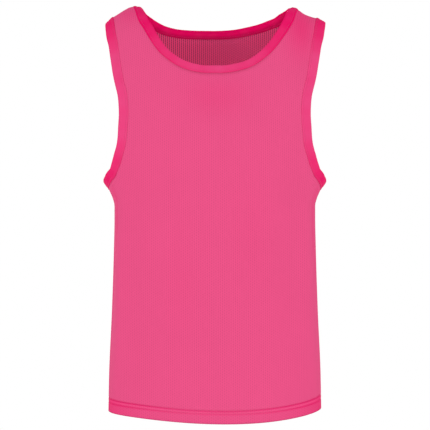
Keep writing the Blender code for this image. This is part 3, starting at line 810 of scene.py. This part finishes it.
def makePanel(name, node, isBack):
    bm = bmesh.new()
    bm.verts.layers.float_vector.new("flat")
    gap = weave["seamGap"] / 2
    for side in (-1, 1):
        for index, places in enumerate(halfPanel(side, isBack)):
            angle, level = places[..., 0], places[..., 1]
            normal = bibNormal(angle, level)
            atCrest = level > weave["crestLevel"]
            normal[atCrest] = unit(normal[atCrest] * (1, 0, 1))
            points = bibPoint(angle, level) + normal * weave["outerFace"]
            flats = np.stack(flatPlace(angle, level), axis=-1)
            if index == 0:
                hemPoints, hemFlats = hemRows(places[0, :, 0])
                points = np.concatenate((hemPoints, points))
                flats = np.concatenate((hemFlats, flats))
            depth = points[..., 1]
            points[..., 1] = np.maximum(depth, gap) if isBack else np.minimum(depth, -gap)
            layGrid(bm, points, flats, (side > 0) == isBack)

    setDepth(bm, isBack)
    left, low, wide, tall = weave["bakeBox"]

    def bakePlace(flat, middle, isOutside):  # the outside takes the wider part of the bake
        u, v = (flat.x - left) / wide, (flat.y - low) / tall
        return 0.005 + 0.60 * u if isOutside else 0.615 + 0.38 * u, 0.005 + 0.99 * v

    piece = finishCloth(bm, name, meshFabric, weave["clothThickness"], bakePlace)
    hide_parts(node)
    return piece


frontCloth = makePanel("frontCloth", "front_panel", False)
backCloth = makePanel("backCloth", "back_panel", True)
print("panels made:", len(frontCloth.data.polygons) + len(backCloth.data.polygons), "faces")


bandForm = {
    "neckBand": {  # on the left and the right: level, width, degrees turned
        -1: ((1.00, 0.0130, 0.0), (1.53, 0.0130, 0.0), (1.60, 0.0137, 0.0), (1.74, 0.0148, 0.0),
             (1.86, 0.0146, -17.0), (1.95, 0.0132, -18.0), (2.00, 0.0118, -8.0)),
        1: ((1.00, 0.0130, 0.0), (1.53, 0.0130, 0.0), (1.60, 0.0137, 0.0), (1.74, 0.0148, 0.0),
            (1.86, 0.0148, -18.0), (2.00, 0.0148, -34.0)),
    },
    "armholeBand": {
        -1: ((1.00, 0.0160, 14.0), (1.06, 0.0150, 9.0), (1.15, 0.0148, 6.0), (1.45, 0.0148, 8.0),
             (1.72, 0.0165, 0.0), (2.00, 0.0160, -14.0)),
        1: ((1.00, 0.0162, 14.0), (1.06, 0.0150, 9.0), (1.15, 0.0148, 6.0), (1.45, 0.0148, 8.0),
            (1.72, 0.0165, 0.0), (2.00, 0.0160, -20.0)),
    },
    "neckTone": {  # lightness of colour from crest to centre: deepest where it is pulled tight at the crests, with painted shade there and all along the back
        "front": ((0, 0.15), (0.3, 0.1), (0.7, 0.6), (1, 0.8)),
        "back": ((0, 0.15), (0.3, 0.0), (1, 0.0)),
    },
    "armholeTone": (  # the same from side seam to crest: deepest at both ends, pulled tight and with painted shade
        (0, 0.3), (0.15, 0.1), (0.4, 0.9), (0.75, 0.9), (0.9, 0.2), (1, 0.2)),
    "toneRipple": 0.04,  # how much it varies in two waves: radians a metre, phase
    "toneRipples": ((95, 1.0), (231, 0.0)),
    "neckAcross": ((0, -0.2), (0.25, 0.0), (0.75, 0.05), (1, -0.15)),  # painted shade, deeper at the stitches and at the fold
    "armholeAcross": ((0, 0.1), (0.3, 0.0), (1, 0.05)),
    "frontShade": 0.95,  # how light the strip is, except behind the neck
    "backLightAndShade": ((0, 0.9), (0.3, 0.8), (0.7, 1.2), (1, 1.05)),  # painted shade on the legs, painted highlight along the fold
    "backReach": 0.10,  # radians behind the shoulder over which the first gives way to the second
    "neckCrown": (0.0, 0.0040),  # how far the strip arches over the left and right shoulder
    "crownStart": 1.86,
    "profile": (  # half round the strip: laps, widths, metres out from the seam, metres off the legs
        (-1, 0, 0.0, -0.00075),
        (-1, 0, 0.0005, -0.0003),
        (0, 0, 0.0004, 0.0),
        (0, 0, 0.0013, 0.0),
        (0, 0, 0.0021, -0.00025),
        (0, 0, 0.0029, 0.0),
        (0, 0.37, 0.0, 0.00012),
        (0, 0.54, 0.0, 0.00010),
        (0, 0.70, 0.0, 0.00012),
        (0, 1, -0.0030, 0.00002),
        (0, 1, -0.0014, -0.0002),
        (0, 1, -0.0004, -0.00065),
    ),
    "waves": ((9, 0.7, 0.5), (23, 2.1, 0.3)),  # of the sewn strip: how many, phase, share
    "waveWidth": 0.00025,
    "waveHeight": 0.00012,
    "ripple": (61, 1.3, 0.00009),  # finer ones: how many, phase, height
    "turnStart": (0.001, 0.004),  # the strip starts to turn this far out from the seam, and over
    "lap": 0.0012,  # how far its legs lie over the panel
    "legHeight": 0.0013,  # outer face above the panel's middle
    "thickness": 0.0007,
    "neckSteps": 44,
    "armSteps": 72,
}


# Point, cloth normal and direction across the seam at each station.
def seamFrames(line, isRing, inward):
    angle, level = line[:, 0], line[:, 1]
    points, normals = bibPoint(angle, level), bibNormal(angle, level)
    if isRing:
        along = np.roll(points, -1, axis=0) - np.roll(points, 1, axis=0)
    else:
        before, after = np.vstack((points[:1], points[:-1])), np.vstack((points[1:], points[-1:]))
        along = after - before
    across = unit(np.cross(unit(along), normals)) * inward
    flat = level > weave["crestLevel"]
    if not isRing:
        flat[0] = flat[-1] = True
    normals[flat] = unit(normals[flat] * (1, 0, 1))
    across[flat] = unit(across[flat] * (1, 0, 1))
    return points, normals, across


def neckStations():
    line = []
    quarters = ((1, False, False), (1, True, True), (-1, True, False), (-1, False, True))
    for side, isBack, isReversed in quarters:
        stretch = neckLine(side, isBack, bandForm["neckSteps"])
        line.append(stretch[:0:-1] if isReversed else stretch[:-1])
    line = np.concatenate(line)
    return line, seamFrames(line, True, -1)


def armholeStations(side):
    front = armholeLine(side, False, bandForm["armSteps"])
    back = armholeLine(side, True, bandForm["armSteps"])
    line = np.concatenate((front, back[-2::-1]))
    points, normals, across = seamFrames(line, False, side)
    points[0, 1], points[-1, 1] = -weave["seamGap"] / 2, weave["seamGap"] / 2
    return line, (points, normals, across)


def bandProfile(width):  # (out from the seam, out from the cloth) round the folded strip
    lap, high = bandForm["lap"], bandForm["legHeight"]
    half = [(laps * lap + widths * width + out, high + off)
            for laps, widths, out, off in bandForm["profile"]]
    return np.array(half + [(width, 0.0)] + [(out, -off) for out, off in half[::-1]])


def makeBand(name, node, stations, shapeRows, isRing):
    line, (points, normals, across) = stations
    level = np.where(line[:, 1] > 2, 4 - line[:, 1], line[:, 1])
    left, right = (np.array(shapeRows[side]) for side in (-1, 1))
    widths, turns = (np.where(line[:, 0] < 0, through(left[:, 0], left[:, k])(level),
                              through(right[:, 0], right[:, k])(level)) for k in (1, 2))
    turns = np.radians(turns)
    start = bandForm["crownStart"]
    crowns = np.where(line[:, 0] < 0, *bandForm["neckCrown"]) * isRing
    crowns = crowns * np.clip((level - start) / (2 - start), 0, 1) ** 2
    lengths = np.linalg.norm(np.diff(points, axis=0), axis=1)
    run = np.concatenate(([0.0], np.cumsum(lengths)))
    total = run[-1] + (np.linalg.norm(points[0] - points[-1]) if isRing else 0.0)
    once = run / total * 2 * np.pi
    wave = sum(np.sin(once * count + phase) * part for count, phase, part in bandForm["waves"])
    count, phase, height = bandForm["ripple"]
    ripple = np.sin(once * count + phase) * height
    turnFrom, turnOver = bandForm["turnStart"]
    grid, flats = [], []
    for k in range(len(points)):
        profile = bandProfile(widths[k] + wave[k] * bandForm["waveWidth"])
        reach = np.clip((profile[:, 0] - turnFrom) / turnOver, 0, 1)
        turn = turns[k] * reach
        arch = crowns[k] * np.sin(np.pi * np.clip(profile[:, 0] / widths[k], 0, 1)) ** 1.5
        lift = profile[:, 1] + (ripple[k] + wave[k] * bandForm["waveHeight"]) * reach + arch
        out = profile[:, 0] * np.cos(turn) - lift * np.sin(turn)
        off = profile[:, 0] * np.sin(turn) + lift * np.cos(turn)
        grid.append(points[k] + across[k] * out[:, None] + normals[k] * off[:, None])
        steps = np.linalg.norm(np.diff(profile, axis=0), axis=1)
        girth = np.concatenate(([0.0], np.cumsum(steps)))
        flats.append(np.stack((np.full(len(girth), run[k]), girth), axis=1))
    if isRing:
        grid.append(grid[0])
        flats.append(flats[0] + (total, 0.0))
    grid, flats = np.array(grid), np.array(flats)
    bm = bmesh.new()
    bm.verts.layers.float_vector.new("flat")
    layGrid(bm, grid, flats, False)
    bm.normal_update()
    corner = Vector(grid[3, 3])
    probe = min(bm.faces, key=lambda face: (face.calc_center_median() - corner).length)
    if probe.normal.dot(Vector(normals[3])) < 0:
        bmesh.ops.reverse_faces(bm, faces=list(bm.faces))
    girthMost = flats[..., 1].max()

    def bakePlace(flat, middle, isOutside):  # the strip in four, each over its inside
        part = min(int(middle.x / total * 4), 3)
        u = min(max(flat.x / total * 4 - part, 0.0), 1.0)
        v = 0.62 * flat.y / girthMost if isOutside else 0.65 + 0.31 * flat.y / girthMost
        return 0.01 + 0.98 * u, (part + 0.02 + v) / 4

    piece = finishBand(bm, name, line, run, isRing, bakePlace)
    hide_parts(node)
    return piece, total, girthMost


def finishBand(bm, name, line, run, isRing, bakePlace):  # tone along the strip, partly painted shade, then thickness
    toneLayer = bm.verts.layers.float.new("tone")
    shadeLayer = bm.verts.layers.float.new("shade")
    flatLayer = bm.verts.layers.float_vector["flat"]
    behind = np.abs(line[:, 0]) - math.pi / 2  # over 0 on the back
    if isRing:  # 0 at the two crests, 1 at centre front and centre back
        share = np.abs(np.arange(len(line)) / bandForm["neckSteps"] % 2 - 1)
        rows = [bandForm["neckTone"]["back" if off > 0 else "front"] for off in behind]
    else:  # 0 at the side seam, 1 at the crest
        share = 1 - np.abs(np.arange(len(line)) / bandForm["armSteps"] - 1)
        rows = [bandForm["armholeTone"]] * len(line)
    tones = np.array([np.interp(part, *np.array(row).T) for part, row in zip(share, rows)])
    for pitch, phase in bandForm["toneRipples"]:
        tones += bandForm["toneRipple"] * np.sin(run * pitch + phase)
    behind = np.clip(behind / bandForm["backReach"], 0, 1) * isRing
    girth = max(vert[flatLayer].y for vert in bm.verts)
    edges = np.array(bandForm["neckAcross" if isRing else "armholeAcross"]).T
    backLightAndShade = np.array(bandForm["backLightAndShade"]).T
    for vert in bm.verts:
        place = vert[flatLayer].x
        across = 1 - abs(1 - 2 * vert[flatLayer].y / girth)  # 0 at the legs, 1 at the fold
        tone = float(np.interp(place, run, tones) + np.interp(across, *edges))
        vert[toneLayer] = min(max(tone, 0.0), 1.0)
        # behind the neck: painted shade on the legs and a painted highlight along the fold
        part = np.interp(place, run, behind)
        shade = bandForm["frontShade"] * (1 - part) + np.interp(across, *backLightAndShade) * part
        vert[shadeLayer] = float(shade)
    return finishCloth(bm, name, bindingKnit, bandForm["thickness"], bakePlace)


neckBand, neckLength, neckGirth = makeBand(
    "neckBinding", "neck_binding", neckStations(), bandForm["neckBand"], True)
armBandLeft, armLength, armGirth = makeBand(
    "armholeBindingLeft", "armhole_binding_left", armholeStations(-1),
    bandForm["armholeBand"], False)
armBandRight, _, _ = makeBand(
    "armholeBindingRight", "armhole_binding_right", armholeStations(1),
    bandForm["armholeBand"], False)
print("bindings made: neck", round(neckLength, 3), "m, armhole", round(armLength, 3), "m round")


stitchForm = {
    "pitch": 0.0032,
    "length": 0.0024,
    "thread": 0.00045,  # across
    "bandRow": 0.0021,  # out from the seam
    "sunk": 0.00012,  # into the bindings
    "hemLift": 0.00048,  # off the form, outside
    "hemInside": 0.0003,  # and off the turned-in layer
    "hemStart": 0.01,  # radians from the side seams
    "hemPoints": 241,
}


def runStitches(line, offset):  # end points of the stitches along a line of points and normals
    places, normals = line
    lengths = np.linalg.norm(np.diff(places, axis=0), axis=1)
    run = np.concatenate(([0.0], np.cumsum(lengths)))
    count = int(run[-1] / stitchForm["pitch"])
    starts = (np.arange(count) + 0.5) * run[-1] / count - stitchForm["length"] / 2
    lifted = places + normals * offset

    def at(goals):
        return np.stack([np.interp(goals, run, lifted[:, n]) for n in range(3)], axis=1)

    return list(zip(at(starts), at(starts + stitchForm["length"])))


def oneStitch():  # a small rounded capsule, 1 long and 1 across, along Z
    bm = bmesh.new()
    bmesh.ops.create_uvsphere(bm, u_segments=6, v_segments=4, radius=0.5)
    corners = np.array([vert.co[:] for vert in bm.verts])
    faces = [[vert.index for vert in face.verts] for face in bm.faces]
    bm.free()
    return corners, faces


def makeStitches(name, ends):  # one capsule for each pair of end points
    corners, faces = oneStitch()
    places, rings = [], []
    for k, (start, end) in enumerate(ends):
        along = end - start
        side = unit(np.cross(along, (0.31, 0.17, 0.93)))
        other = unit(np.cross(along, side))
        shape = np.stack((side * stitchForm["thread"], other * stitchForm["thread"], along))
        places.append((start + end) / 2 + corners @ shape)
        rings += [[corner + k * len(corners) for corner in face] for face in faces]
    mesh = bpy.data.meshes.new(name)
    mesh.from_pydata(np.concatenate(places).tolist(), [], rings)
    mesh.shade_smooth()
    mesh.materials.append(sewingThread)
    piece = bpy.data.objects.new(name, mesh)
    bpy.context.scene.collection.objects.link(piece)
    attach(piece, "root")


def hemLine(row, low, high):  # points and normals along one row of the hem, between two angles
    angle = np.linspace(low, high, stitchForm["hemPoints"])
    angle = np.where(angle > math.pi, angle - 2 * math.pi, angle)
    level = hemLinesAt(angle)[row] / bodyReach
    return bibPoint(angle, level), bibNormal(angle, level)


# Two rows outside, and the zigzag that joins them inside, on the front and on the back.
hemStitches = []
outside, inside = stitchForm["hemLift"], stitchForm["hemInside"] - hemFold["legGap"]
for centre in (0, math.pi):
    sideways = math.pi / 2 - stitchForm["hemStart"]
    upper, lower = (hemLine(row, centre - sideways, centre + sideways) for row in (0, 1))
    hemStitches += runStitches(upper, outside) + runStitches(lower, outside)
    above, below = runStitches(upper, inside), runStitches(lower, inside)
    for k in range(min(len(above), len(below)) - 1):
        hemStitches += [(above[k][0], below[k][1]), (below[k][1], above[k + 1][0])]
makeStitches("hemStitches", hemStitches)


def bandStitches(name, stations, isRing):
    points, normals, across = stations[1]
    if isRing:
        points, normals, across = (
            np.concatenate((part, part[:1])) for part in (points, normals, across))
    row = points + across * stitchForm["bandRow"], normals
    lift = bandForm["legHeight"] - stitchForm["sunk"]
    makeStitches(name, runStitches(row, lift) + runStitches(row, -lift))


bandStitches("neckStitches", neckStations(), True)
bandStitches("armholeStitchesLeft", armholeStations(-1), False)
bandStitches("armholeStitchesRight", armholeStations(1), False)
print("stitches made")


# Stage, lights and camera.
studio = {
    "cameraDistance": 2.4,
    "cameraHeight": -0.328,
    "cameraSide": 0.0003,
    "frameWidth": 0.7052,  # metres across the picture at the middle of the bib
    "sensorWidth": 36.0,
    "floorHeight": -0.95,
    "floorRadius": 1.5,
    "floorColour": "#eeeeec",
    "skyLight": 0.74,  # how strongly the pale room lights the bib, which is seen as plain white
}

floorMesh = bpy.data.meshes.new("studioFloor")
bm = bmesh.new()
bmesh.ops.create_circle(bm, cap_ends=True, segments=64, radius=studio["floorRadius"])
bmesh.ops.translate(bm, verts=bm.verts, vec=(0, 0, studio["floorHeight"]))
bm.to_mesh(floorMesh)
bm.free()
floor = bpy.data.objects.new("studioFloor", floorMesh)
floorPaint, _, floorShader = newMaterial("paleMattePaint", {"Roughness": 0.9})
floorShader.inputs["Base Color"].default_value = toLinear(studio["floorColour"])
floorMesh.materials.append(floorPaint)
bpy.context.scene.collection.objects.link(floor)

world = bpy.data.worlds.new("paleStudio")
bpy.context.scene.world = world
world.use_nodes = True
sky = world.node_tree.nodes["Background"]
isSeen = addNode(world.node_tree, "ShaderNodeLightPath").outputs["Is Camera Ray"]
skyShare = addNode(world.node_tree, "ShaderNodeMapRange",
                   {0: isSeen, 3: studio["skyLight"], 4: 1.0})
world.node_tree.links.new(skyShare.outputs[0], sky.inputs["Strength"])
sky.inputs["Color"].default_value = (1.0, 1.0, 1.0, 1.0)

softLights = (  # name, place, aim, size, watts
    ("leftLight", (-2.25, -1.40, -0.12), (0, 0, -0.28), 1.4, 23.5),
    ("rightLight", (2.25, -1.40, -0.15), (0, 0, -0.28), 1.4, 23.5),
    ("lowLight", (0.1, -2.5, -0.85), (0, 0, -0.38), 0.9, 8.0),
    ("backLight", (-0.6, 2.4, -0.35), (0, 0, -0.33), 1.4, 14.0),
    ("topLight", (0, -0.25, 1.60), (0, 0, 0), 0.8, 2.6),
)
for name, place, aim, size, watts in softLights:
    light = bpy.data.lights.new(name, "AREA")
    light.shape, light.size, light.energy = "DISK", size, watts
    lamp = bpy.data.objects.new(name, light)
    lamp.location = place
    lamp.rotation_euler = (Vector(aim) - Vector(place)).to_track_quat("-Z", "Y").to_euler()
    bpy.context.scene.collection.objects.link(lamp)

cameraData = bpy.data.cameras.new("camera")
cameraData.sensor_width = studio["sensorWidth"]
cameraData.lens = studio["sensorWidth"] * studio["cameraDistance"] / studio["frameWidth"]
camera = bpy.data.objects.new("camera", cameraData)
camera.location = (studio["cameraSide"], -studio["cameraDistance"], studio["cameraHeight"])
camera.rotation_euler = (math.pi / 2, 0, 0)
bpy.context.scene.collection.objects.link(camera)
bpy.context.scene.camera = camera
bpy.context.scene.view_settings.view_transform = "Standard"
print("stage, lights and camera set")
